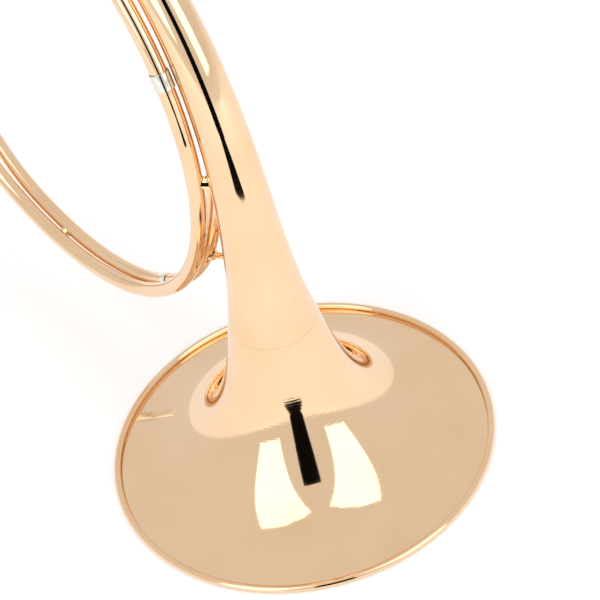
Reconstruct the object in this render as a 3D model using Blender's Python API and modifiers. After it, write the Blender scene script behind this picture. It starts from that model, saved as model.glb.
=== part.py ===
"""Hunting horn with a round coil: bell, tapering tail, coiled tube, sliding mouthpipe, mouthpiece.

Metres, +Z up. The horn stands on its bell: the rim's plane is z = 0 and the coil lies in an upright
plane beside the bell, towards -X.
"""

import math

import bmesh
import bpy
from mathutils import Matrix, Vector

# Fits
GAP = 0.0003  # between pieces that are soldered or seated
SLIDE_CLEARANCE = 0.00005  # radial, between the sliding tube and its sleeve

# Bell
RIM_RADIUS = 0.135
FLARE_HEIGHT = 0.118
THROAT_RADIUS = 0.0302
FLARE_REACH = 0.0217  # how far the flare stays wide behind the rim
FLARE_WALL = 0.0008
BEAD_RADIUS = 0.0024
WIRE_RADIUS = 0.0013
FLARE_STATIONS = 11
BELL_STEPS = 48

# Bell tail
TAIL_WALL = 0.0006
TAIL_CONE = 0.01412  # radius lost per metre of the long cone
TAIL_DECAY = 0.063  # distance over which the throat's extra flare dies away
BEND_START = 0.1639  # distance from the rim where the tail begins to bend
BEND_RAMP = 0.1868  # length over which the bend tightens to the coil's radius

# Coil
COIL_RADIUS = 0.1953
TUBE_RADIUS = 0.0054
TUBE_WALL = 0.0004
UNDER_STEP = 0.0093  # how far inside the coil's radius each later pass lies: along the bottom,
INNER_STEP = 0.0218  # inside the bell tail,
SIDE_STEP = 0.0089  # and beside the bell tail
UNDER_RADIUS = COIL_RADIUS - UNDER_STEP
INNER_RADIUS = COIL_RADIUS - INNER_STEP
SIDE_RADIUS = COIL_RADIUS - SIDE_STEP
UNDER_LEVEL = -0.0098
INNER_LEVEL = 0.007
SIDE_LOW_LEVEL = -0.0219
SIDE_HIGH_LEVEL = -0.018
TAIL_JOINT_DEG = 50.0
CONE_END_DEG = 197.0
FERRULE_DEG = (300.0, 432.0, 540.0, 736.6)
COIL_END_DEG = 900.0
STEP_DEG = 6.0
END_SQUARE = 0.001  # last short run at each tube end

# Ferrules
FERRULE_LENGTH = 0.011
FERRULE_WALL = 0.00045
FERRULE_CHAMFER = 0.0002

# Mouthpipe
SLEEVE_LENGTH = 0.070
SLEEVE_WALL = 0.0008
COIL_INSERT = 0.012
SLIDE_TOP_DROP = 0.017  # from the sleeve's top down to the sliding tube's top
SLIDE_LENGTH = 0.0915
SLIDE_WALL = 0.0007
RING_HEIGHT = 0.004
RING_RADIUS = 0.0078
RECEIVER_LENGTH = 0.042
RECEIVER_WALL = 0.0012
RECEIVER_SEAT = 0.012
SOCKET_TOP_RADIUS = 0.0040
SOCKET_MOUTH_RADIUS = 0.0049
SHANK_CLEARANCE = 0.0001
SHANK_INSERT = 0.022
MOUTHPIECE_RIM_RADIUS = 0.01275
MOUTHPIECE_LENGTH = 0.0434  # below the receiver
THROAT_BORE = 0.0022
MOUTHPIPE_STEPS = 24

# Stays
ROD_RADIUS = 0.0022
FOOT_RADIUS = 0.0042
FOOT_THICKNESS = 0.0016
LOW_STAY_RISE = 0.01055633  # the bell end of a stay lies this much above its coil end,
SIDE_STAY_DROP = 0.0061093  # or this much below it
SEAT_REACH = 0.0145  # how far each way along a tube a foot is cut to it

COLLECTION_NAME = "hunting_horn"
CUTTER_COLLECTION_NAME = "cutters"


def make_collection(name):
    collection = bpy.data.collections.new(name)
    bpy.context.scene.collection.children.link(collection)
    return collection


def make_material(name, color, roughness):
    material = bpy.data.materials.new(name)
    material.use_nodes = True
    shader = material.node_tree.nodes["Principled BSDF"]
    shader.inputs["Base Color"].default_value = (*color, 1.0)
    shader.inputs["Metallic"].default_value = 1.0
    shader.inputs["Roughness"].default_value = roughness
    material.diffuse_color = (*color, 1.0)
    return material


GOLD_BRASS = (0.93, 0.66, 0.40)
NICKEL_SILVER = (0.80, 0.77, 0.70)
SILVER_PLATE = (0.88, 0.87, 0.85)


def smoothstep(value, start, end):
    t = min(max((value - start) / (end - start), 0.0), 1.0)
    return t * t * (3.0 - 2.0 * t)


# Bell and tail outline

FLARE_POWER = math.log(RIM_RADIUS / THROAT_RADIUS) / math.log((FLARE_REACH + FLARE_HEIGHT) / FLARE_REACH)


def flare_radius(height):
    return RIM_RADIUS * (FLARE_REACH / (FLARE_REACH + height)) ** FLARE_POWER


RAMP_TURN = BEND_RAMP / (2.0 * COIL_RADIUS)  # angle turned over the ramp
BEND_END = BEND_START + BEND_RAMP
CONE_END = BEND_END + COIL_RADIUS * (math.radians(CONE_END_DEG) - RAMP_TURN)
TAIL_START = FLARE_HEIGHT + GAP
THROAT_EXTRA = THROAT_RADIUS - TUBE_RADIUS - TAIL_CONE * (CONE_END - TAIL_START)


def tail_radius(distance):
    cone = TUBE_RADIUS + TAIL_CONE * (CONE_END - distance)
    return cone + THROAT_EXTRA * math.exp(-(distance - TAIL_START) / TAIL_DECAY)


def ramp_point(distance):
    """Offset (x, z) and turn angle of the tail's centreline at a distance from the rim."""
    if distance <= BEND_START:
        return 0.0, distance, 0.0
    parts = 60
    step = (distance - BEND_START) / parts
    x, z = 0.0, BEND_START
    for index in range(parts):
        run = (index + 0.5) * step
        angle = run * run / (2.0 * BEND_RAMP * COIL_RADIUS)
        x -= math.sin(angle) * step
        z += math.cos(angle) * step
    run = distance - BEND_START
    return x, z, run * run / (2.0 * BEND_RAMP * COIL_RADIUS)


RAMP_END_X, RAMP_END_Z, _ = ramp_point(BEND_END)
COIL_OFFSET = RAMP_END_X - COIL_RADIUS * math.cos(RAMP_TURN)  # coil centre from the bell's axis
COIL_HEIGHT = RAMP_END_Z - COIL_RADIUS * math.sin(RAMP_TURN)


def tail_distance(degrees):
    return BEND_END + COIL_RADIUS * (math.radians(degrees) - RAMP_TURN)


# The box of the whole horn is centred on the origin
LEFT_EDGE = max(SIDE_RADIUS + MOUTHPIECE_RIM_RADIUS, COIL_RADIUS + tail_radius(tail_distance(180.0)))
BELL_X = (LEFT_EDGE - COIL_OFFSET - RIM_RADIUS) / 2.0
CENTRE_X = BELL_X + COIL_OFFSET
MOUTHPIPE_X = CENTRE_X - SIDE_RADIUS


def tail_point(distance):
    if distance <= BEND_END:
        x, z, _ = ramp_point(distance)
        return Vector((BELL_X + x, 0.0, z))
    angle = RAMP_TURN + (distance - BEND_END) / COIL_RADIUS
    return Vector((CENTRE_X + COIL_RADIUS * math.cos(angle), 0.0, COIL_HEIGHT + COIL_RADIUS * math.sin(angle)))


# Coil route, by the angle turned from the coil's right-hand side


def coil_radius(degrees):
    radius = COIL_RADIUS
    radius += (UNDER_RADIUS - COIL_RADIUS) * smoothstep(degrees, 200.0, 245.0)
    radius += (INNER_RADIUS - UNDER_RADIUS) * smoothstep(degrees, 322.0, 378.0)
    radius += (SIDE_RADIUS - INNER_RADIUS) * smoothstep(degrees, 555.0, 600.0)
    return radius


def coil_level(degrees):
    level = UNDER_LEVEL * smoothstep(degrees, 200.0, 245.0)
    level += (INNER_LEVEL - UNDER_LEVEL) * smoothstep(degrees, 320.0, 378.0)
    level += (SIDE_LOW_LEVEL - INNER_LEVEL) * smoothstep(degrees, 515.0, 570.0)
    level += (SIDE_HIGH_LEVEL - SIDE_LOW_LEVEL) * smoothstep(degrees, 630.0, 810.0)
    return level


def coil_point(degrees):
    angle = math.radians(degrees)
    radius = coil_radius(degrees)
    x = CENTRE_X + radius * math.cos(angle)
    z = COIL_HEIGHT + radius * math.sin(angle)
    return Vector((x, coil_level(degrees), z))


def coil_direction(degrees):
    return (coil_point(degrees + 0.5) - coil_point(degrees - 0.5)).normalized()


# Builders


def add_object(name, mesh, material, collection):
    mesh.materials.clear()
    mesh.materials.append(material)
    for polygon in mesh.polygons:
        polygon.use_smooth = True
    item = bpy.data.objects.new(name, mesh)
    collection.objects.link(item)
    return item


def sweep(name, points, radii, wall, resolution, material, collection):
    """A hollow tube along points: a bevelled curve, thickened inwards."""
    curve = bpy.data.curves.new(name + "_path", "CURVE")
    curve.dimensions = "3D"
    curve.bevel_depth = radii[0]
    curve.bevel_resolution = resolution
    curve.use_fill_caps = False
    spline = curve.splines.new("POLY")
    spline.points.add(len(points) - 1)
    for spot, point, radius in zip(spline.points, points, radii):
        spot.co = (*point, 1.0)
        spot.radius = radius / radii[0]
    path = bpy.data.objects.new(name + "_path", curve)
    collection.objects.link(path)
    graph = bpy.context.evaluated_depsgraph_get()
    mesh = bpy.data.meshes.new_from_object(path.evaluated_get(graph))
    bpy.data.objects.remove(path)
    bpy.data.curves.remove(curve)
    mesh.name = name
    item = add_object(name, mesh, material, collection)
    shell = item.modifiers.new("wall", "SOLIDIFY")
    shell.thickness = wall
    shell.offset = -1.0
    shell.use_even_offset = True
    return item


def turn(name, outline, steps, material, collection, place=Matrix.Identity(4), closed=True):
    """A turned solid: an outline of (radius, height) pairs swept about Z."""
    mesh = bpy.data.meshes.new(name)
    shape = bmesh.new()
    corners = [shape.verts.new((radius, 0.0, height)) for radius, height in outline]
    for start, end in zip(corners, corners[1:]):
        shape.edges.new((start, end))
    if closed:
        shape.edges.new((corners[-1], corners[0]))
    shape.to_mesh(mesh)
    shape.free()
    item = add_object(name, mesh, material, collection)
    screw = item.modifiers.new("turning", "SCREW")
    screw.axis = "Z"
    screw.steps = steps
    screw.render_steps = steps
    screw.use_merge_vertices = True
    screw.merge_threshold = 0.00001
    screw.use_smooth_shade = True
    item.matrix_world = place
    return item


def frame_at(point, direction):
    return Matrix.Translation(point) @ direction.to_track_quat("Z", "Y").to_matrix().to_4x4()


def collar_outline(bore_low, bore_high, wall, length):
    half = length / 2.0
    edge = FERRULE_CHAMFER
    return [
        (bore_high + wall - edge, half),
        (bore_high + wall, half - edge),
        (bore_low + wall, -half + edge),
        (bore_low + wall - edge, -half),
        (bore_low, -half),
        (bore_high, half),
    ]


def make_ferrule(name, degrees, material, collection):
    bore = TUBE_RADIUS + GAP + 0.00005
    outline = collar_outline(bore, bore, FERRULE_WALL, FERRULE_LENGTH)
    return turn(name, outline, 14, material, collection, frame_at(coil_point(degrees), coil_direction(degrees)))


def make_tail_ferrule(name, distance, material, collection):
    half = FERRULE_LENGTH / 2.0
    bore_low = tail_radius(distance - half) + GAP
    bore_high = tail_radius(distance + half) + GAP
    outline = collar_outline(bore_low, bore_high, FERRULE_WALL, FERRULE_LENGTH)
    direction = (tail_point(distance + 0.001) - tail_point(distance - 0.001)).normalized()
    return turn(name, outline, 22, material, collection, frame_at(tail_point(distance), direction))


def make_flare(material, collection):
    """The spun flare, its edge rolled up and back around the rim wire."""
    curl = BEAD_RADIUS - FLARE_WALL
    centre = RIM_RADIUS - BEAD_RADIUS
    low = 0.0013
    ratio = (FLARE_HEIGHT + FLARE_REACH) / (low + FLARE_REACH)
    heights = [
        (low + FLARE_REACH) * ratio ** (index / (FLARE_STATIONS - 1)) - FLARE_REACH
        for index in range(FLARE_STATIONS - 1, -1, -1)
    ]
    back = [(flare_radius(height), height) for height in heights]
    inside = []
    for height in heights:
        ahead = flare_radius(height + 0.0001) - flare_radius(height - 0.0001)
        normal = Vector((-0.0002, ahead)).normalized()
        inside.append((flare_radius(height) + normal.x * FLARE_WALL, height + normal.y * FLARE_WALL))
    inside = [(radius, max(height, 0.00012)) for radius, height in inside]
    inside[0] = (inside[0][0], FLARE_HEIGHT)
    hollow = [
        (centre + curl * math.cos(math.radians(turned)), BEAD_RADIUS + curl * math.sin(math.radians(turned)))
        for turned in range(-120, 241, 60)
    ]
    bead = [
        (centre + BEAD_RADIUS * math.cos(math.radians(turned)), BEAD_RADIUS * (1 + math.sin(math.radians(turned))))
        for turned in (200, 150, 100, 50, 0, -45, -80)
    ]
    foot = [(centre + 0.0002, 0.0), (centre - 0.0018, 0.0)]
    outline = back + hollow[:-1] + [(centre - curl, BEAD_RADIUS - 0.0005)] + bead + foot + inside[::-1]
    return turn("bell_flare", outline, BELL_STEPS, material, collection, Matrix.Translation((BELL_X, 0.0, 0.0)))


def make_rim_wire(material, collection):
    centre = RIM_RADIUS - BEAD_RADIUS
    outline = [
        (
            centre + WIRE_RADIUS * math.cos(math.radians(turned)),
            BEAD_RADIUS + WIRE_RADIUS * math.sin(math.radians(turned)),
        )
        for turned in range(360, 0, -60)
    ]
    return turn("rim_wire", outline, BELL_STEPS, material, collection, Matrix.Translation((BELL_X, 0.0, 0.0)))


def spread(start, end, spacing, unit):
    """Stations along a tube: close together inside the ferrules, so that the ends are square and straight."""
    square = END_SQUARE * unit
    inside = (FERRULE_LENGTH / 2.0 + END_SQUARE) * unit
    count = max(1, math.ceil((end - start - 2.0 * inside) / spacing))
    low, high = start + inside, end - inside
    middle = [low + (high - low) * index / count for index in range(count + 1)]
    return [start, start + square, *middle, end - square, end]


def make_tail(name, start, end, spacing, resolution, material, collection):
    distances = spread(start, end, spacing, 1.0)
    points = [tail_point(distance) for distance in distances]
    radii = [tail_radius(distance) for distance in distances]
    return sweep(name, points, radii, TAIL_WALL, resolution, material, collection)


def make_coil_tube(name, start, end, material, collection, straight_end=0.0):
    points = [coil_point(turned) for turned in spread(start, end, STEP_DEG, math.degrees(1.0 / SIDE_RADIUS))]
    if straight_end:
        points.append(points[-1] + Vector((0.0, 0.0, -straight_end)))
    radii = [TUBE_RADIUS] * len(points)
    return sweep(name, points, radii, TUBE_WALL, 3, material, collection)


def cutter_cone(name, point, direction, radius_low, radius_high, length, collection):
    bpy.ops.mesh.primitive_cone_add(
        vertices=32, radius1=radius_low, radius2=radius_high, depth=length, location=(0.0, 0.0, 0.0)
    )
    item = bpy.context.active_object
    item.name = name
    item.matrix_world = frame_at(point, direction)
    for holder in item.users_collection:
        holder.objects.unlink(item)
    collection.objects.link(item)
    item.hide_render = True
    item.display_type = "WIRE"
    return item


def make_stay(name, first, second, material, collection, cutters):
    """A rod with a saddle foot at each end, cut to sit on two tubes.

    Each end is (point, direction, radius at -foot, radius at +foot along the direction).
    """
    start, end = first[0], second[0]
    span = (end - start).length
    first_radius = (first[2] + first[3]) / 2.0
    second_radius = (second[2] + second[3]) / 2.0
    foot_top = min(first_radius + GAP + FOOT_THICKNESS, span * 0.5)
    foot_low = max(span - second_radius - GAP - FOOT_THICKNESS, foot_top)
    if foot_low - foot_top < 0.0006:
        outline = [(0.0, span), (FOOT_RADIUS, span), (FOOT_RADIUS, 0.0), (0.0, 0.0)]
    else:
        outline = [
            (0.0, span),
            (FOOT_RADIUS, span),
            (FOOT_RADIUS, foot_low),
            (ROD_RADIUS, foot_low - 0.0002),
            (ROD_RADIUS, foot_top + 0.0002),
            (FOOT_RADIUS, foot_top),
            (FOOT_RADIUS, 0.0),
            (0.0, 0.0),
        ]
    item = turn(name, outline, 10, material, collection, frame_at(start, (end - start).normalized()), closed=False)
    for label, side in (("a", first), ("b", second)):
        point, direction, low, high = side
        cutter = cutter_cone(
            name + "_cutter_" + label, point, direction, low + GAP, high + GAP, 2.0 * SEAT_REACH, cutters
        )
        cut = item.modifiers.new("seat_" + label, "BOOLEAN")
        cut.operation = "DIFFERENCE"
        cut.solver = "EXACT"
        cut.object = cutter
    return item


def tail_end(degrees):
    return tail_end_at(tail_distance(degrees))


def tail_end_at(distance):
    direction = (tail_point(distance + 0.001) - tail_point(distance - 0.001)).normalized()
    return tail_point(distance), direction, tail_radius(distance - SEAT_REACH), tail_radius(distance + SEAT_REACH)


def coil_end(degrees):
    return coil_point(degrees), coil_direction(degrees), TUBE_RADIUS, TUBE_RADIUS


def make_mouthpipe(nickel, brass, plate, collection):
    """Sleeve, sliding tube, pull ring, receiver and mouthpiece, all on one upright axis."""
    bore = TUBE_RADIUS + GAP
    slide_radius = bore - SLIDE_CLEARANCE
    top = COIL_HEIGHT

    def add(name, outline, height, material):
        place = Matrix.Translation((MOUTHPIPE_X, SIDE_HIGH_LEVEL, height))
        return turn(name, outline, MOUTHPIPE_STEPS, material, collection, place)

    outer = bore + SLEEVE_WALL
    sleeve = [
        (outer - 0.0003, 0.0),
        (outer, -0.0003),
        (outer, -SLEEVE_LENGTH + 0.003),
        (outer + 0.0006, -SLEEVE_LENGTH + 0.0024),
        (outer + 0.0006, -SLEEVE_LENGTH + 0.0004),
        (outer, -SLEEVE_LENGTH),
        (bore, -SLEEVE_LENGTH),
        (bore, 0.0),
    ]
    add("mouthpipe_sleeve", sleeve, top, nickel)

    slide_top = top - SLIDE_TOP_DROP
    slide = [
        (slide_radius, 0.0),
        (slide_radius, -SLIDE_LENGTH),
        (slide_radius - SLIDE_WALL, -SLIDE_LENGTH),
        (slide_radius - SLIDE_WALL, 0.0),
    ]
    add("mouthpipe_slide", slide, slide_top, brass)

    ring_top = top - SLEEVE_LENGTH - GAP
    ring_bore = slide_radius + GAP
    ring = [
        (RING_RADIUS - 0.0006, 0.0),
        (RING_RADIUS, -0.001),
        (RING_RADIUS, -RING_HEIGHT + 0.001),
        (RING_RADIUS - 0.0006, -RING_HEIGHT),
        (ring_bore, -RING_HEIGHT),
        (ring_bore, 0.0),
    ]
    add("slide_ring", ring, ring_top, nickel)

    receiver_top = slide_top - SLIDE_LENGTH + RECEIVER_SEAT - GAP
    seat_radius = slide_radius + GAP
    shell = seat_radius + RECEIVER_WALL
    receiver = [
        (shell - 0.0004, 0.0),
        (shell, -0.0004),
        (shell, -RECEIVER_LENGTH + 0.005),
        (shell + 0.0008, -RECEIVER_LENGTH + 0.0035),
        (shell + 0.0008, -RECEIVER_LENGTH + 0.0012),
        (shell, -RECEIVER_LENGTH),
        (SOCKET_MOUTH_RADIUS, -RECEIVER_LENGTH),
        (SOCKET_TOP_RADIUS, -RECEIVER_SEAT),
        (seat_radius, -RECEIVER_SEAT),
        (seat_radius, 0.0),
    ]
    add("receiver", receiver, receiver_top, nickel)

    mouth = receiver_top - RECEIVER_LENGTH
    taper = (SOCKET_MOUTH_RADIUS - SOCKET_TOP_RADIUS) / (RECEIVER_LENGTH - RECEIVER_SEAT)
    shank_mouth = SOCKET_MOUTH_RADIUS - SHANK_CLEARANCE
    shank_tip = shank_mouth - taper * SHANK_INSERT
    rim = MOUTHPIECE_RIM_RADIUS
    low = -MOUTHPIECE_LENGTH
    mouthpiece = [
        (shank_tip, SHANK_INSERT),
        (shank_mouth, 0.0),
        (shank_mouth + 0.0009, 0.3 * low),
        (rim * 0.55, 0.46 * low),
        (rim * 0.76, 0.72 * low),
        (rim * 0.88, 0.86 * low),
        (rim, low + 0.0036),
        (rim, low + 0.0012),
        (rim - 0.0012, low),
        (rim - 0.0030, low + 0.0001),
        (rim - 0.0044, low + 0.0014),
        (rim * 0.56, low + 0.009),
        (rim * 0.36, 0.48 * low),
        (THROAT_BORE, 0.12 * low),
        (THROAT_BORE + 0.0004, SHANK_INSERT),
    ]
    add("mouthpiece", mouthpiece, mouth, plate)
    return top, mouth


def build():
    for item in list(bpy.data.objects):
        bpy.data.objects.remove(item)
    horn = make_collection(COLLECTION_NAME)
    cutters = make_collection(CUTTER_COLLECTION_NAME)

    def brass(name):
        return make_material(name, GOLD_BRASS, 0.08)

    def nickel(name):
        return make_material(name, NICKEL_SILVER, 0.12)

    make_flare(brass("flare_brass"), horn)
    make_rim_wire(brass("wire_brass"), horn)

    tail_joint = tail_distance(TAIL_JOINT_DEG)
    make_tail("bell_tail", TAIL_START, tail_joint - GAP / 2, 0.015, 8, brass("tail_brass"), horn)
    make_tail("tail_branch", tail_joint + GAP / 2, CONE_END, 0.02, 5, brass("branch_brass"), horn)
    make_tail_ferrule("tail_ferrule", tail_joint, nickel("tail_ferrule_nickel"), horn)
    make_tail_ferrule("branch_ferrule", CONE_END, nickel("branch_ferrule_nickel"), horn)

    gap_degrees = math.degrees(GAP / SIDE_RADIUS)
    joints = (CONE_END_DEG, *FERRULE_DEG, COIL_END_DEG)
    names = ("coil_tube_outer", "coil_tube_inner", "coil_tube_crossing", "coil_tube_side", "coil_tube_last")
    for name, start, end in zip(names, joints, joints[1:]):
        straight = COIL_INSERT if end == COIL_END_DEG else 0.0
        make_coil_tube(name, start + gap_degrees, end, brass(name + "_brass"), horn, straight)
    ferrules = ("ferrule_bottom", "ferrule_top", "ferrule_left", "ferrule_side")
    for name, degrees in zip(ferrules, FERRULE_DEG):
        make_ferrule(name, degrees + gap_degrees / 2, nickel(name + "_nickel"), horn)

    make_mouthpipe(nickel("mouthpipe_nickel"), brass("slide_brass"), make_material(
        "mouthpiece_plate", SILVER_PLATE, 0.1), horn)

    stays = (
        ("stay_bell_low", coil_end(327.0), tail_end_at(coil_point(327.0).z + LOW_STAY_RISE)),
        ("stay_bell_side", coil_end(714.0), tail_end_at(coil_point(714.0).z - SIDE_STAY_DROP)),
        ("stay_right_inner", coil_end(391.0), tail_end(31.0)),
        ("stay_top_inner", coil_end(456.0), tail_end(96.0)),
        ("stay_top_side", coil_end(816.0), tail_end(96.0)),
        ("stay_left_inner", coil_end(525.0), tail_end(165.0)),
        ("stay_left_side", coil_end(885.0), tail_end(165.0)),
        ("stay_bottom", coil_end(618.0), coil_end(258.0)),
    )
    stay_material = brass("stay_brass")
    for name, first, second in stays:
        make_stay(name, first, second, stay_material, horn, cutters)


build()
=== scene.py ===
import math

import bmesh
import bpy
from bpy.props import FloatProperty, FloatVectorProperty, IntProperty, PointerProperty
from bpy.types import Operator, Panel, PropertyGroup
from mathutils import Matrix, Vector


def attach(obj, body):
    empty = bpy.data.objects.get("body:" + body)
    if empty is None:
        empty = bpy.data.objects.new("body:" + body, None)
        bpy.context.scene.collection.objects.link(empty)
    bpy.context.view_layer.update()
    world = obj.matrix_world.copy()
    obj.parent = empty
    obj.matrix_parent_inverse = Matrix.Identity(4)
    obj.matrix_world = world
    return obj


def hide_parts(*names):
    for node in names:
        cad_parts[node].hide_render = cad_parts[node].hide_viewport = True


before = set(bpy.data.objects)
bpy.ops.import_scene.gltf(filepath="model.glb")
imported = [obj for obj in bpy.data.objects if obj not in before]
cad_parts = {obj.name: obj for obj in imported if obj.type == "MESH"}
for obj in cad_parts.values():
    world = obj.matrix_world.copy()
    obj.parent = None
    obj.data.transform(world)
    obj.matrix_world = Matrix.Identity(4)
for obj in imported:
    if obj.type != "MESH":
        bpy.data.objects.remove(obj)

bl_info = {
    "name": "Hunting horn",
    "version": (1, 0, 0),
    "blender": (4, 5, 0),
    "location": "View3D > Sidebar > Horn",
    "description": "Builds the visible hunting horn on its packed frame",
    "category": "Object",
}

# Lengths are in metres and angles in degrees, and the horn's main sizes are the frame's

GAP = 0.0003  # between pieces that are soldered or seated
SEAM = 0.0001  # the soldered seam at the throat, as it shows

# Bell
RIM_RADIUS = 0.135
FLARE_HEIGHT = 0.118
THROAT_RADIUS = 0.0302
FLARE_REACH = 0.0217  # how far the flare stays wide behind the rim
FLARE_WALL = 0.0008
FLARE_STATIONS = 90
EDGE_HEIGHT = 0.0013  # where the flare's back meets the rolled rim
FACE_HEIGHT = 0.00012  # lowest part of the flare's inner face
SLOPE_STEP = 0.0001  # half the height that the flare's slope is measured over
BEAD_RADIUS = 0.0024
BEAD_CENTRE = RIM_RADIUS - BEAD_RADIUS
CURL_RADIUS = BEAD_RADIUS - FLARE_WALL  # hollow inside the rolled rim
RIM_FOOT_OUTSIDE = 0.0002  # the flat foot runs from this far outside the rolled rim's centre
RIM_FOOT_INSIDE = 0.0018  # to this far inside it
BELL_CREASE_DEG = 60.0

# Angles round the rolled rim's hollow, and then back round its outside
HOLLOW_DEG = range(-120, 196, 15)
BEAD_DEG = range(200, -85, -10)

# Bell tail
TAIL_CONE = 0.01412  # radius lost per metre of the long cone
TAIL_DECAY = 0.063  # distance over which the throat's extra flare dies away
BEND_START = 0.1639  # distance from the rim where the tail begins to bend
BEND_RAMP = 0.1868  # length over which the bend tightens to the coil's radius
BEND_PARTS = 60
TAIL_STATION = 0.003  # from one ring of the tail's mesh to the next
TAIL_BEVEL_STEPS = 22
TOP_TRIM = 0.00055  # taken off the tail at the coil's top, to stay in the frame's box
TOP_TRIM_DEG = 24.0
LEFT_TRIM = 0.00035  # and at its left
LEFT_TRIM_DEG = 9.0

# Coil: radius and level of each pass, and the angles where the tube's lengths meet
COIL_RADIUS = 0.1953
TUBE_RADIUS = 0.0054
UNDER_RADIUS = 0.186
INNER_RADIUS = 0.1735
SIDE_RADIUS = 0.1864
UNDER_LEVEL = -0.0098
INNER_LEVEL = 0.007
SIDE_LOW_LEVEL = -0.0219
SIDE_HIGH_LEVEL = -0.018
TAIL_JOINT_DEG = 50.0
CONE_END_DEG = 197.0
FERRULE_DEG = (300.0, 432.0, 540.0, 736.6)
COIL_END_DEG = 900.0
TUBE_BEVEL_STEPS = 14

# Angles between which the narrow tube moves over to its next radius or level
UNDER_DEG = (200.0, 245.0)
INNER_RADIUS_DEG = (322.0, 378.0)
INNER_LEVEL_DEG = (320.0, 378.0)
SIDE_RADIUS_DEG = (555.0, 600.0)
SIDE_LOW_DEG = (515.0, 570.0)
SIDE_HIGH_DEG = (630.0, 810.0)

# Half the run that the direction of the tail, and of the narrow tube, is measured over
TAIL_NEARBY = 0.001
COIL_NEARBY_DEG = 0.5

# Turned fittings
FITTING_CREASE_DEG = 50.0
BEAD_PARTS = 12
RING_PARTS = 15
MERGE_WITHIN = 0.00001

# Ferrules
FERRULE_LENGTH = 0.011
FERRULE_WALL = 0.00045
FERRULE_CHAMFER = 0.0002
FERRULE_EASE = 0.00005  # more room on the narrow tube than the gap gives
FERRULE_BORE = TUBE_RADIUS + GAP + FERRULE_EASE

# Mouthpipe
SLEEVE_LENGTH = 0.070
SLEEVE_WALL = 0.0008
SLEEVE_EDGE = 0.0003
SLEEVE_BEAD = 0.0006
SLEEVE_BEAD_HALF = 0.0015
COIL_INSERT = 0.012
SLIDE_CLEARANCE = 0.00005
SLIDE_TOP_DROP = 0.017
SLIDE_LENGTH = 0.0915
SLIDE_WALL = 0.0007
RING_HEIGHT = 0.004
RING_RADIUS = 0.0078
RING_BEAD = 0.0006
RECEIVER_LENGTH = 0.042
RECEIVER_WALL = 0.0012
RECEIVER_SEAT = 0.012
RECEIVER_EDGE = 0.0004
RECEIVER_BEAD = 0.0008
RECEIVER_BEAD_HALF = 0.0024
RECEIVER_BEAD_MIDDLE = 0.0025  # above the receiver's lower end
RECEIVER_BEAD_TOP = 0.005
SOCKET_TOP_RADIUS = 0.0040
SOCKET_MOUTH_RADIUS = 0.0049

# Mouthpiece
SHANK_CLEARANCE = 0.0001
SHANK_INSERT = 0.022
SHANK_SWELL = 0.0009
MOUTHPIECE_RIM_RADIUS = 0.01275
MOUTHPIECE_LENGTH = 0.0434
THROAT_BORE = 0.0022
BACKBORE_SWELL = 0.0004

# Mouthpiece's outline: shares of the rim's radius (WIDE) and of the length below the shank (DOWN)
SHANK_DOWN = 0.3
CUP_BACK_WIDE_DOWN = ((0.55, 0.46), (0.76, 0.72), (0.88, 0.86))
CUP_MOUTH_WIDE = 0.56
CUP_MOUTH_DEPTH = 0.009  # in metres, from the rim's face
CUP_FLOOR_WIDE = 0.36
CUP_FLOOR_DOWN = 0.48
THROAT_DOWN = 0.12

# The rounding of the mouthpiece's rim: how far in from its edge, and how far up from its face
LIP_IN_UP = ((0.0, 0.0036), (0.0, 0.0012), (0.0012, 0.0), (0.0030, 0.0001), (0.0044, 0.0014))

# Finishes: tones, grain of the colour's drift, and how much rougher each is than the brass
BRASS_GRAIN = 18.0
NICKEL_DEEP = (0.50, 0.44, 0.35)
NICKEL_GRAIN = 60.0
NICKEL_DULLNESS = 2.0
SILVER_LIGHT = (0.86, 0.85, 0.82)
SILVER_DEEP = (0.80, 0.79, 0.75)
SILVER_GRAIN = 40.0
SILVER_DULLNESS = 1.4

# Camera, found from the photograph, relative to the bell's axis
CAMERA_PLACE = (0.68304, -0.41097, 0.83906)
CAMERA_RIGHT = (0.649825, 0.741242, -0.168188)
CAMERA_UP = (-0.426360, 0.538661, 0.726679)
CAMERA_FORWARD = (-0.629241, 0.400505, -0.666071)
CAMERA_LENS = 98.41
CAMERA_NEAREST = 0.01
SENSOR_WIDTH = 36.0

# Stage
FLOOR_SIZE = 12.0
FLOOR_DROP = 0.0002
FLOOR_TONE = (0.93, 0.93, 0.93)
FLOOR_GLOW = 0.12
CARD_TONE = (0.004, 0.004, 0.004)
DARK_COLUMN_WIDTH = 0.34
DARK_COLUMN_HEIGHT = 1.05
DARK_COLUMN_AWAY = 0.98  # from the bell's axis, towards the camera
DARK_FOOT_WIDTH = 0.26
DARK_FOOT_LENGTH = 0.5
DARK_FOOT_AWAY = 0.73
DARK_FOOT_LIFT = 0.001
LAMP_SIZE = (1.15, 2.7)
LAMP_WATTS = 13.0
LAMP_AWAY = 1.62  # from the bell's axis, straight out
LAMP_ASIDE = 0.42  # and across
LAMP_HEIGHT = 1.45
LAMP_AIM = Vector((-0.1, 0.0, 0.2))  # from the bell's axis on the floor

STAYS = (
    "stay_bell_low",
    "stay_bell_side",
    "stay_right_inner",
    "stay_top_inner",
    "stay_top_side",
    "stay_left_inner",
    "stay_left_side",
    "stay_bottom",
)


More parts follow.
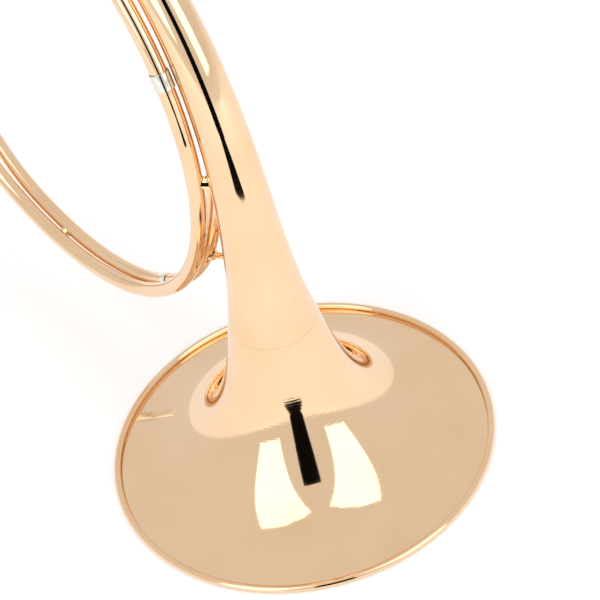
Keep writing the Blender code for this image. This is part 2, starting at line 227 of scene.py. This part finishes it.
class HornSettings(PropertyGroup):
    """What a user may change before building the horn"""

    turn_steps: IntProperty(
        name="Steps round a fitting",
        description="Flat sides round a ferrule, the mouthpipe and the mouthpiece",
        default=96,
        min=24,
        max=256,
    )
    bell_steps: IntProperty(
        name="Steps round the bell",
        description="Flat sides round the bell flare",
        default=240,
        min=48,
        max=400,
    )
    roughness: FloatProperty(
        name="Roughness",
        description="Roughness of the brass, lower for a sharper mirror",
        default=0.055,
        min=0.0,
        max=0.5,
        subtype="FACTOR",
    )
    brass_light: FloatVectorProperty(
        name="Brass, light",
        description="Lighter tone of the brass",
        default=(0.93, 0.66, 0.42),
        min=0.0,
        max=1.0,
        subtype="COLOR",
    )
    brass_deep: FloatVectorProperty(
        name="Brass, deep",
        description="Deeper tone of the drawn brass tube",
        default=(0.89, 0.60, 0.35),
        min=0.0,
        max=1.0,
        subtype="COLOR",
    )
    spun_deep: FloatVectorProperty(
        name="Spun brass, deep",
        description="Deeper tone of the spun bell",
        default=(0.90, 0.61, 0.36),
        min=0.0,
        max=1.0,
        subtype="COLOR",
    )
    nickel_light: FloatVectorProperty(
        name="Nickel silver",
        description="Lighter tone of the ferrules and the mouthpipe's fittings",
        default=(0.60, 0.53, 0.42),
        min=0.0,
        max=1.0,
        subtype="COLOR",
    )
    room_light: FloatProperty(
        name="Room light",
        description="Brightness of the white room round the horn",
        default=0.8,
        min=0.0,
        max=3.0,
    )


# The horn's lines, the same as in the frame


def smoothstep(value, start, end):
    """0 up to start, 1 from end on, and a soft rise between them."""
    t = min(max((value - start) / (end - start), 0.0), 1.0)
    return t * t * (3.0 - 2.0 * t)


FLARE_POWER = math.log(RIM_RADIUS / THROAT_RADIUS) / math.log((FLARE_REACH + FLARE_HEIGHT) / FLARE_REACH)


def flare_radius(height):
    """Radius of the flare's back at a height above the rim."""
    return RIM_RADIUS * (FLARE_REACH / (FLARE_REACH + height)) ** FLARE_POWER


RAMP_TURN = BEND_RAMP / (2.0 * COIL_RADIUS)
BEND_END = BEND_START + BEND_RAMP
CONE_END = BEND_END + COIL_RADIUS * (math.radians(CONE_END_DEG) - RAMP_TURN)
TAIL_START = FLARE_HEIGHT + GAP
THROAT_EXTRA = THROAT_RADIUS - TUBE_RADIUS - TAIL_CONE * (CONE_END - TAIL_START)


def tail_radius(distance):
    """Radius of the tail at a distance from the rim, measured along its centreline."""
    cone = TUBE_RADIUS + TAIL_CONE * (CONE_END - distance)
    return cone + THROAT_EXTRA * math.exp(-(distance - TAIL_START) / TAIL_DECAY)


def ramp_point(distance):
    """Offset (x, z) of the tail's centreline at a distance from the rim, up to the end of the ramp."""
    if distance <= BEND_START:
        return 0.0, distance
    step = (distance - BEND_START) / BEND_PARTS
    x, z = 0.0, BEND_START
    for index in range(BEND_PARTS):
        run = (index + 0.5) * step
        angle = run * run / (2.0 * BEND_RAMP * COIL_RADIUS)
        x -= math.sin(angle) * step
        z += math.cos(angle) * step
    return x, z


RAMP_END_X, RAMP_END_Z = ramp_point(BEND_END)
COIL_OFFSET = RAMP_END_X - COIL_RADIUS * math.cos(RAMP_TURN)
COIL_HEIGHT = RAMP_END_Z - COIL_RADIUS * math.sin(RAMP_TURN)


def tail_distance(degrees):
    """Distance from the rim to the tail's point at that angle round the coil."""
    return BEND_END + COIL_RADIUS * (math.radians(degrees) - RAMP_TURN)


# The box of the whole horn is centred on the origin
LEFT_EDGE = max(SIDE_RADIUS + MOUTHPIECE_RIM_RADIUS, COIL_RADIUS + tail_radius(tail_distance(180.0)))
BELL_X = (LEFT_EDGE - COIL_OFFSET - RIM_RADIUS) / 2.0
CENTRE_X = BELL_X + COIL_OFFSET
MOUTHPIPE_X = CENTRE_X - SIDE_RADIUS

# Heights down the mouthpipe
PIPE_BORE = TUBE_RADIUS + GAP
SLIDE_RADIUS = PIPE_BORE - SLIDE_CLEARANCE
SLEEVE_TOP = COIL_HEIGHT
SLIDE_TOP = SLEEVE_TOP - SLIDE_TOP_DROP
RING_TOP = SLEEVE_TOP - SLEEVE_LENGTH - GAP
RECEIVER_TOP = SLIDE_TOP - SLIDE_LENGTH + RECEIVER_SEAT - GAP
RECEIVER_MOUTH = RECEIVER_TOP - RECEIVER_LENGTH


def on_coil(radius, degrees, level):
    """The point at that radius, angle and level about the coil's centre."""
    angle = math.radians(degrees)
    return Vector((CENTRE_X + radius * math.cos(angle), level, COIL_HEIGHT + radius * math.sin(angle)))


def tail_angle(distance):
    """The inverse of tail_distance: degrees round the coil at a distance from the rim."""
    return math.degrees(RAMP_TURN + (distance - BEND_END) / COIL_RADIUS)


def tail_point(distance):
    """The tail's centreline, at a distance from the rim."""
    if distance <= BEND_END:
        x, z = ramp_point(distance)
        return Vector((BELL_X + x, 0.0, z))
    return on_coil(COIL_RADIUS, tail_angle(distance), 0.0)


def tail_direction(distance):
    """The way that the tail runs, at a distance from the rim."""
    return (tail_point(distance + TAIL_NEARBY) - tail_point(distance - TAIL_NEARBY)).normalized()


def coil_point(degrees):
    """The narrow tube's centreline, at an angle that grows by 360 with each turn."""
    radius = COIL_RADIUS
    radius += (UNDER_RADIUS - COIL_RADIUS) * smoothstep(degrees, *UNDER_DEG)
    radius += (INNER_RADIUS - UNDER_RADIUS) * smoothstep(degrees, *INNER_RADIUS_DEG)
    radius += (SIDE_RADIUS - INNER_RADIUS) * smoothstep(degrees, *SIDE_RADIUS_DEG)
    level = UNDER_LEVEL * smoothstep(degrees, *UNDER_DEG)
    level += (INNER_LEVEL - UNDER_LEVEL) * smoothstep(degrees, *INNER_LEVEL_DEG)
    level += (SIDE_LOW_LEVEL - INNER_LEVEL) * smoothstep(degrees, *SIDE_LOW_DEG)
    level += (SIDE_HIGH_LEVEL - SIDE_LOW_LEVEL) * smoothstep(degrees, *SIDE_HIGH_DEG)
    return on_coil(radius, degrees, level)


def coil_direction(degrees):
    """The way that the narrow tube runs, at an angle."""
    return (coil_point(degrees + COIL_NEARBY_DEG) - coil_point(degrees - COIL_NEARBY_DEG)).normalized()


# Modelling


def select_only(item):
    """Makes an object active, and the only one selected."""
    bpy.ops.object.select_all(action="DESELECT")
    item.select_set(True)
    bpy.context.view_layer.objects.active = item


def hand_over(item, material, body, node):
    """Gives a piece its finish and hands it to its body, in place of its node."""
    item.data.materials.clear()
    item.data.materials.append(material)
    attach(item, body)
    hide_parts(node)


def turned(name, outline, steps, place, crease_deg=FITTING_CREASE_DEG):
    """A closed outline of (radius, height) swept about Z, then put in its place in its mesh."""
    mesh = bpy.data.meshes.new(name)
    shape = bmesh.new()
    corners = [shape.verts.new((radius, 0.0, height)) for radius, height in outline]
    for start, end in zip(corners, corners[1:] + corners[:1]):
        shape.edges.new((start, end))
    shape.to_mesh(mesh)
    shape.free()
    item = bpy.data.objects.new(name, mesh)
    bpy.context.collection.objects.link(item)
    select_only(item)
    bpy.ops.object.modifier_add(type="SCREW")
    screw = item.modifiers[-1]
    screw.steps = steps
    screw.render_steps = steps
    screw.use_merge_vertices = True
    screw.merge_threshold = MERGE_WITHIN
    bpy.ops.object.modifier_apply(modifier=screw.name)
    item.data.transform(place)
    item.data.shade_smooth()
    item.data.set_sharp_from_angle(angle=math.radians(crease_deg))
    return item


def swept(name, points, radii, bevel_steps):
    """A smooth tube along points, made with a bevelled curve."""
    curve = bpy.data.curves.new(name, "CURVE")
    curve.dimensions = "3D"
    curve.bevel_depth = radii[0]
    curve.bevel_resolution = bevel_steps
    spline = curve.splines.new("POLY")
    spline.points.add(len(points) - 1)
    for spot, point, radius in zip(spline.points, points, radii):
        spot.co = (*point, 1.0)
        spot.radius = radius / radii[0]
    item = bpy.data.objects.new(name, curve)
    bpy.context.collection.objects.link(item)
    select_only(item)
    bpy.ops.object.convert(target="MESH")
    item = bpy.context.active_object
    item.name = name
    bpy.ops.object.shade_smooth()
    return item


def arc(centre, radius, degrees):
    """Points of (radius, height) round a centre, at the given degrees."""
    return [
        (centre[0] + radius * math.cos(math.radians(turn)), centre[1] + radius * math.sin(math.radians(turn)))
        for turn in degrees
    ]


def soft_edge(start, end, parts=5):
    """A quarter-round run of points from start to end."""
    (x0, z0), (x1, z1) = start, end
    return [
        (
            x0 + (x1 - x0) * math.sin(math.pi / 2 * index / parts),
            z0 + (z1 - z0) * (1.0 - math.cos(math.pi / 2 * index / parts)),
        )
        for index in range(parts + 1)
    ]


def half_round(radius, middle, depth, half, parts):
    """A half-round bead standing out of a radius, from its upper end to its lower end."""
    return [
        (
            radius + depth * math.sin(math.pi * index / parts),
            middle + half * math.cos(math.pi * index / parts),
        )
        for index in range(parts + 1)
    ]


def softened(points):
    """The same run of points with its corners cut twice, so that a turned piece has soft curves."""
    for _ in range(2):
        cut = [points[0]]
        for (x0, z0), (x1, z1) in zip(points, points[1:]):
            cut.append((x0 * 0.75 + x1 * 0.25, z0 * 0.75 + z1 * 0.25))
            cut.append((x0 * 0.25 + x1 * 0.75, z0 * 0.25 + z1 * 0.75))
        cut.append(points[-1])
        points = cut
    return points


def place_at(point, direction):
    """The place of a turned piece at a point, with its axis along a direction."""
    return Matrix.Translation(point) @ direction.to_track_quat("Z", "Y").to_matrix().to_4x4()


# Finishes


def add_noise(nodes, links, place, scale, detail):
    """A noise texture on the piece's own coordinates."""
    noise = nodes.new("ShaderNodeTexNoise")
    noise.inputs["Scale"].default_value = scale
    noise.inputs["Detail"].default_value = detail
    links.new(place.outputs["Object"], noise.inputs["Vector"])
    return noise


def metal(name, light, deep, roughness, scale, spun):
    """Polished metal: the colour drifts a little, the polish varies, and spun pieces carry faint lines."""
    material = bpy.data.materials.new(name)
    material.use_nodes = True
    nodes = material.node_tree.nodes
    links = material.node_tree.links
    shader = nodes["Principled BSDF"]
    shader.inputs["Metallic"].default_value = 1.0
    shader.inputs["Coat Weight"].default_value = 0.35
    shader.inputs["Coat Roughness"].default_value = 0.03
    place = nodes.new("ShaderNodeTexCoord")

    drift = add_noise(nodes, links, place, scale, 3.0)
    tone = nodes.new("ShaderNodeValToRGB")
    tone.color_ramp.elements[0].position = 0.3
    tone.color_ramp.elements[0].color = (*deep, 1.0)
    tone.color_ramp.elements[1].position = 0.62
    tone.color_ramp.elements[1].color = (*light, 1.0)
    links.new(drift.outputs["Fac"], tone.inputs["Fac"])
    links.new(tone.outputs["Color"], shader.inputs["Base Color"])

    smear = add_noise(nodes, links, place, scale * 5.0, 6.0)
    polish = nodes.new("ShaderNodeMapRange")
    polish.inputs["To Min"].default_value = roughness * 0.6
    polish.inputs["To Max"].default_value = roughness * 1.5
    links.new(smear.outputs["Fac"], polish.inputs["Value"])
    links.new(polish.outputs["Result"], shader.inputs["Roughness"])

    bump = nodes.new("ShaderNodeBump")
    bump.inputs["Distance"].default_value = 0.0002
    if spun:
        lines = nodes.new("ShaderNodeTexWave")
        lines.wave_type = "BANDS"
        lines.bands_direction = "Z"
        lines.inputs["Scale"].default_value = 160.0
        lines.inputs["Distortion"].default_value = 0.6
        links.new(place.outputs["Object"], lines.inputs["Vector"])
        links.new(lines.outputs["Fac"], bump.inputs["Height"])
        bump.inputs["Strength"].default_value = 0.02
    else:
        links.new(smear.outputs["Fac"], bump.inputs["Height"])
        bump.inputs["Strength"].default_value = 0.06
    links.new(bump.outputs["Normal"], shader.inputs["Normal"])
    return material


def finish_of(name, light, deep, grain, dullness=1.0, spun=False):
    """The finish of that name, made when it is first asked for."""
    roughness = bpy.context.scene.horn.roughness * dullness
    return bpy.data.materials.get(name) or metal(name, light, deep, roughness, grain, spun)


def polished_brass():
    horn = bpy.context.scene.horn
    return finish_of("polished_brass", horn.brass_light, horn.brass_deep, BRASS_GRAIN)


def spun_brass():
    horn = bpy.context.scene.horn
    return finish_of("spun_brass", horn.brass_light, horn.spun_deep, BRASS_GRAIN, spun=True)


def nickel_silver():
    light = bpy.context.scene.horn.nickel_light
    return finish_of("nickel_silver", light, NICKEL_DEEP, NICKEL_GRAIN, NICKEL_DULLNESS)


def silver_plate():
    return finish_of("silver_plate", SILVER_LIGHT, SILVER_DEEP, SILVER_GRAIN, SILVER_DULLNESS)


def plain(name, tone, glow=0.0):
    """A dull finish of one colour, which can glow a little."""
    material = bpy.data.materials.new(name)
    material.use_nodes = True
    shader = material.node_tree.nodes["Principled BSDF"]
    shader.inputs["Base Color"].default_value = (*tone, 1.0)
    shader.inputs["Roughness"].default_value = 0.9
    shader.inputs["Specular IOR Level"].default_value = 0.0
    shader.inputs["Emission Color"].default_value = (1.0, 1.0, 1.0, 1.0)
    shader.inputs["Emission Strength"].default_value = glow
    return material


# Bell


def flare_inside(height):
    """The flare's inner face, one wall in from its back."""
    ahead = flare_radius(height + SLOPE_STEP) - flare_radius(height - SLOPE_STEP)
    inward = Vector((-2.0 * SLOPE_STEP, ahead)).normalized() * FLARE_WALL
    return flare_radius(height) + inward.x, max(height + inward.y, FACE_HEIGHT)


def flare_outline():
    """Down the back, round the hollow and the outside of the rolled rim, and up the inside."""
    last = FLARE_STATIONS - 1
    ratio = (FLARE_HEIGHT + FLARE_REACH) / (EDGE_HEIGHT + FLARE_REACH)
    heights = [
        (EDGE_HEIGHT + FLARE_REACH) * ratio ** (index / last) - FLARE_REACH for index in range(last, -1, -1)
    ]
    back = [(flare_radius(height), height) for height in heights]
    inside = [flare_inside(height) for height in heights]
    inside[0] = (inside[0][0], FLARE_HEIGHT)
    middle = (BEAD_CENTRE, BEAD_RADIUS)
    hollow = arc(middle, CURL_RADIUS, HOLLOW_DEG)
    bead = arc(middle, BEAD_RADIUS, BEAD_DEG)
    foot = [(BEAD_CENTRE + RIM_FOOT_OUTSIDE, 0.0), (BEAD_CENTRE - RIM_FOOT_INSIDE, 0.0)]
    return back + hollow + bead + foot + inside[::-1]


class HORN_OT_bell(Operator):
    """Spin the bell flare with its rolled rim"""

    bl_idname = "horn.bell"
    bl_label = "Bell"

    def execute(self, context):
        place = Matrix.Translation((BELL_X, 0.0, 0.0))
        flare = turned("flare", flare_outline(), context.scene.horn.bell_steps, place, BELL_CREASE_DEG)
        hand_over(flare, spun_brass(), "horn_body", "bell_flare")
        return {"FINISHED"}


# Bell tail and coil


def shown_tail_radius(distance):
    """The tail's radius, trimmed a little where a round tube would pass the frame's flat-sided one."""
    from_top = tail_angle(distance) - 90.0
    from_left = tail_angle(distance) - 180.0
    trim = TOP_TRIM * math.exp(-((from_top / TOP_TRIM_DEG) ** 2))
    trim += LEFT_TRIM * math.exp(-((from_left / LEFT_TRIM_DEG) ** 2))
    return tail_radius(distance) - trim


def add_tail_length(name, node, start, end):
    """A length of the tail, between two distances from the rim."""
    count = round((end - start) / TAIL_STATION)
    distances = [start + (end - start) * index / count for index in range(count + 1)]
    points = [tail_point(distance) for distance in distances]
    radii = [shown_tail_radius(distance) for distance in distances]
    item = swept(name, points, radii, TAIL_BEVEL_STEPS)
    hand_over(item, polished_brass(), "horn_body", node)


def add_ferrule(name, node, bore_low, bore_high, place):
    """A ferrule with soft outer edges, its bore given at its lower and its upper end."""
    half = FERRULE_LENGTH / 2.0
    edge = FERRULE_CHAMFER
    low = bore_low + FERRULE_WALL
    high = bore_high + FERRULE_WALL
    outline = soft_edge((high - edge, half), (high, half - edge))
    outline += soft_edge((low - edge, -half), (low, -half + edge))[::-1]
    outline += [(bore_low, -half), (bore_high, half)]
    item = turned(name, outline, bpy.context.scene.horn.turn_steps, place)
    hand_over(item, nickel_silver(), "horn_body", node)


def add_tail_ferrule(name, node, distance):
    """A ferrule on the tail, at a distance from the rim."""
    half = FERRULE_LENGTH / 2.0
    bore_low = tail_radius(distance - half) + GAP
    bore_high = tail_radius(distance + half) + GAP
    place = place_at(tail_point(distance), tail_direction(distance))
    add_ferrule(name, node, bore_low, bore_high, place)


class HORN_OT_tail(Operator):
    """Draw the two tapering lengths of the bell's tail and their ferrules"""

    bl_idname = "horn.tail"
    bl_label = "Bell tail"

    def execute(self, context):
        joint = tail_distance(TAIL_JOINT_DEG)
        add_tail_length("tail_low", "bell_tail", FLARE_HEIGHT + SEAM, joint)
        add_tail_length("tail_high", "tail_branch", joint, CONE_END)
        add_tail_ferrule("tail_sleeve", "tail_ferrule", joint)
        add_tail_ferrule("branch_sleeve", "branch_ferrule", CONE_END)
        return {"FINISHED"}


class HORN_OT_coil(Operator):
    """Wind the narrow tube round the coil, with a ferrule at each joint"""

    bl_idname = "horn.coil"
    bl_label = "Coil"

    def execute(self, context):
        ends = (CONE_END_DEG, *FERRULE_DEG, COIL_END_DEG)
        for name, start, end in zip(("outer", "inner", "crossing", "side", "last"), ends, ends[1:]):
            count = round(end - start)
            points = [coil_point(start + (end - start) * index / count) for index in range(count + 1)]
            if end == COIL_END_DEG:
                points.append(points[-1] - Vector((0.0, 0.0, COIL_INSERT)))
            item = swept("tube_" + name, points, [TUBE_RADIUS] * len(points), TUBE_BEVEL_STEPS)
            hand_over(item, polished_brass(), "horn_body", "coil_tube_" + name)
        for name, degrees in zip(("bottom", "top", "left", "side"), FERRULE_DEG):
            place = place_at(coil_point(degrees), coil_direction(degrees))
            add_ferrule("sleeve_" + name, "ferrule_" + name, FERRULE_BORE, FERRULE_BORE, place)
        return {"FINISHED"}


# Mouthpipe and mouthpiece


def on_mouthpipe(name, outline, top):
    """A turned piece on the mouthpipe's upright axis, its outline's zero at the height of top."""
    place = Matrix.Translation((MOUTHPIPE_X, SIDE_HIGH_LEVEL, top))
    return turned(name, outline, bpy.context.scene.horn.turn_steps, place)


def sleeve_outline():
    """A thin sleeve with a bead round its lower end."""
    outer = PIPE_BORE + SLEEVE_WALL
    end = -SLEEVE_LENGTH
    outline = soft_edge((outer - SLEEVE_EDGE, 0.0), (outer, -SLEEVE_EDGE))
    outline += half_round(outer, end + SLEEVE_BEAD_HALF, SLEEVE_BEAD, SLEEVE_BEAD_HALF, BEAD_PARTS)
    return outline + [(PIPE_BORE, end), (PIPE_BORE, 0.0)]


def slide_outline():
    """The plain tube that slides in the sleeve."""
    inner = SLIDE_RADIUS - SLIDE_WALL
    return [(SLIDE_RADIUS, 0.0), (SLIDE_RADIUS, -SLIDE_LENGTH), (inner, -SLIDE_LENGTH), (inner, 0.0)]


def ring_outline():
    """The round-edged ring by which the slide is pulled."""
    half = RING_HEIGHT / 2.0
    bore = SLIDE_RADIUS + GAP
    outline = half_round(RING_RADIUS - RING_BEAD, -half, RING_BEAD, half, RING_PARTS)
    return outline + [(bore, -RING_HEIGHT), (bore, 0.0)]


def receiver_outline():
    """A seat for the slide above, a tapering socket below, and a bead round the socket's mouth."""
    seat = SLIDE_RADIUS + GAP
    shell = seat + RECEIVER_WALL
    end = -RECEIVER_LENGTH
    middle = end + RECEIVER_BEAD_MIDDLE
    outline = soft_edge((shell - RECEIVER_EDGE, 0.0), (shell, -RECEIVER_EDGE))
    outline += [(shell, end + RECEIVER_BEAD_TOP)]
    outline += half_round(shell, middle, RECEIVER_BEAD, RECEIVER_BEAD_HALF, BEAD_PARTS)[1:-1]
    outline += [(shell, end), (SOCKET_MOUTH_RADIUS, end), (SOCKET_TOP_RADIUS, -RECEIVER_SEAT)]
    return outline + [(seat, -RECEIVER_SEAT), (seat, 0.0)]


def mouthpiece_outline():
    """Down the outside from the shank's tip, round the rim, and up through the cup and the throat."""
    taper = (SOCKET_MOUTH_RADIUS - SOCKET_TOP_RADIUS) / (RECEIVER_LENGTH - RECEIVER_SEAT)
    shank = SOCKET_MOUTH_RADIUS - SHANK_CLEARANCE
    rim = MOUTHPIECE_RIM_RADIUS
    low = -MOUTHPIECE_LENGTH
    outside = [(shank, 0.0), (shank + SHANK_SWELL, SHANK_DOWN * low)]
    outside += [(wide * rim, down * low) for wide, down in CUP_BACK_WIDE_DOWN]
    lip = [(rim - inward, low + upward) for inward, upward in LIP_IN_UP]
    cup = [(CUP_MOUTH_WIDE * rim, low + CUP_MOUTH_DEPTH), (CUP_FLOOR_WIDE * rim, CUP_FLOOR_DOWN * low)]
    throat = [(THROAT_BORE, THROAT_DOWN * low)]
    tip = (shank - taper * SHANK_INSERT, SHANK_INSERT)
    backbore = (THROAT_BORE + BACKBORE_SWELL, SHANK_INSERT)
    return [tip] + softened(outside + lip + cup + throat) + [backbore]


class HORN_OT_mouthpipe(Operator):
    """Turn the mouthpipe's sleeve, and the sliding tube with its pull ring and receiver"""

    bl_idname = "horn.mouthpipe"
    bl_label = "Mouthpipe"

    def execute(self, context):
        sleeve = on_mouthpipe("sleeve", sleeve_outline(), SLEEVE_TOP)
        hand_over(sleeve, nickel_silver(), "horn_body", "mouthpipe_sleeve")
        slide = on_mouthpipe("slide", slide_outline(), SLIDE_TOP)
        hand_over(slide, polished_brass(), "mouthpipe_slide_body", "mouthpipe_slide")
        ring = on_mouthpipe("pull_ring", ring_outline(), RING_TOP)
        hand_over(ring, nickel_silver(), "mouthpipe_slide_body", "slide_ring")
        socket = on_mouthpipe("socket", receiver_outline(), RECEIVER_TOP)
        hand_over(socket, nickel_silver(), "mouthpipe_slide_body", "receiver")
        return {"FINISHED"}


class HORN_OT_mouthpiece(Operator):
    """Turn the mouthpiece"""

    bl_idname = "horn.mouthpiece"
    bl_label = "Mouthpiece"

    def execute(self, context):
        cup = on_mouthpipe("mouthpiece_cup", mouthpiece_outline(), RECEIVER_MOUTH)
        hand_over(cup, silver_plate(), "mouthpiece_body", "mouthpiece")
        return {"FINISHED"}


class HORN_OT_stays(Operator):
    """Polish the stays and the rim wire, which keep their own shape"""

    bl_idname = "horn.stays"
    bl_label = "Stays"

    def execute(self, context):
        for name in (*STAYS, "rim_wire"):
            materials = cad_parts[name].data.materials
            for index in range(len(materials)):
                materials[index] = polished_brass()
        return {"FINISHED"}


# Stage


def add_lamp(name, place):
    """A soft lamp at a place, turned towards the horn."""
    bpy.ops.object.light_add(type="AREA", location=place)
    lamp = bpy.context.active_object
    lamp.name = name
    lamp.data.shape = "RECTANGLE"
    lamp.data.size, lamp.data.size_y = LAMP_SIZE
    lamp.data.energy = LAMP_WATTS
    aim = Vector((BELL_X, 0.0, 0.0)) + LAMP_AIM - Vector(place)
    lamp.rotation_euler = aim.to_track_quat("-Z", "Y").to_euler()


def add_card(name, place, width, height):
    """A dark card that only the metal sees."""
    bpy.ops.mesh.primitive_plane_add(size=1.0)
    card = bpy.context.active_object
    card.name = name
    card.data.materials.append(plain(name, CARD_TONE))
    card.matrix_world = place @ Matrix.Diagonal((width, height, 1.0, 1.0))
    card.visible_camera = False
    card.visible_diffuse = False
    card.visible_shadow = False


def add_cards():
    """An upright card behind the camera, and one on the floor at its foot, for dark reflections."""
    towards = Vector((-CAMERA_FORWARD[0], -CAMERA_FORWARD[1], 0.0)).normalized()
    upright = towards.to_track_quat("Z", "Y").to_matrix().to_4x4()
    flat = Matrix.Rotation(math.atan2(towards.y, towards.x) - math.pi / 2, 4, "Z")
    base = Vector((BELL_X, 0.0, 0.0))
    column = base + towards * DARK_COLUMN_AWAY + Vector((0.0, 0.0, DARK_COLUMN_HEIGHT / 2.0))
    foot = base + towards * DARK_FOOT_AWAY + Vector((0.0, 0.0, DARK_FOOT_LIFT))
    add_card("dark_column", Matrix.Translation(column) @ upright, DARK_COLUMN_WIDTH, DARK_COLUMN_HEIGHT)
    add_card("dark_foot", Matrix.Translation(foot) @ flat, DARK_FOOT_WIDTH, DARK_FOOT_LENGTH)


def add_camera(scene):
    """The camera, at the place and angle found from the photograph."""
    back = tuple(-Vector(CAMERA_FORWARD))
    turn = Matrix((CAMERA_RIGHT, CAMERA_UP, back)).transposed().to_4x4()
    data = bpy.data.cameras.new("camera")
    data.lens = CAMERA_LENS
    data.sensor_width = SENSOR_WIDTH
    data.clip_start = CAMERA_NEAREST
    camera = bpy.data.objects.new("camera", data)
    scene.collection.objects.link(camera)
    camera.matrix_world = Matrix.Translation(Vector(CAMERA_PLACE) + Vector((BELL_X, 0.0, 0.0))) @ turn
    scene.camera = camera


class HORN_OT_stage(Operator):
    """Lay the pale floor, light the horn softly and set the camera at the photograph's angle"""

    bl_idname = "horn.stage"
    bl_label = "Stage"

    def execute(self, context):
        scene = context.scene
        bpy.ops.mesh.primitive_plane_add(size=FLOOR_SIZE, location=(0.0, 0.0, -FLOOR_DROP))
        floor = context.active_object
        floor.name = "floor"
        floor.data.materials.append(plain("pale_floor", FLOOR_TONE, FLOOR_GLOW))

        add_cards()
        add_lamp("key", (BELL_X + LAMP_AWAY, LAMP_ASIDE, LAMP_HEIGHT))
        add_lamp("fill", (BELL_X + LAMP_ASIDE, -LAMP_AWAY, LAMP_HEIGHT))

        world = bpy.data.worlds.new("studio")
        world.use_nodes = True
        room = world.node_tree.nodes["Background"]
        room.inputs["Color"].default_value = (1.0, 1.0, 1.0, 1.0)
        room.inputs["Strength"].default_value = scene.horn.room_light
        scene.world = world

        add_camera(scene)
        scene.view_settings.view_transform = "Standard"
        return {"FINISHED"}


OPERATORS = (
    HORN_OT_bell,
    HORN_OT_tail,
    HORN_OT_coil,
    HORN_OT_mouthpipe,
    HORN_OT_mouthpiece,
    HORN_OT_stays,
    HORN_OT_stage,
)


class HORN_PT_panel(Panel):
    """Buttons that build the horn piece by piece"""

    bl_idname = "HORN_PT_panel"
    bl_label = "Hunting horn"
    bl_space_type = "VIEW_3D"
    bl_region_type = "UI"
    bl_category = "Horn"

    def draw(self, context):
        settings = context.scene.horn
        for name in HornSettings.__annotations__:
            self.layout.prop(settings, name)
        for operator in OPERATORS:
            self.layout.operator(operator.bl_idname)


CLASSES = (HornSettings, *OPERATORS, HORN_PT_panel)


def register():
    for item in CLASSES:
        bpy.utils.register_class(item)
    bpy.types.Scene.horn = PointerProperty(type=HornSettings)


def unregister():
    del bpy.types.Scene.horn
    for item in reversed(CLASSES):
        bpy.utils.unregister_class(item)


def main():
    register()
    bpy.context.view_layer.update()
    bpy.ops.horn.bell()
    bpy.ops.horn.tail()
    bpy.ops.horn.coil()
    bpy.ops.horn.mouthpipe()
    bpy.ops.horn.mouthpiece()
    bpy.ops.horn.stays()
    bpy.ops.horn.stage()


if __name__ == "__main__":
    main()
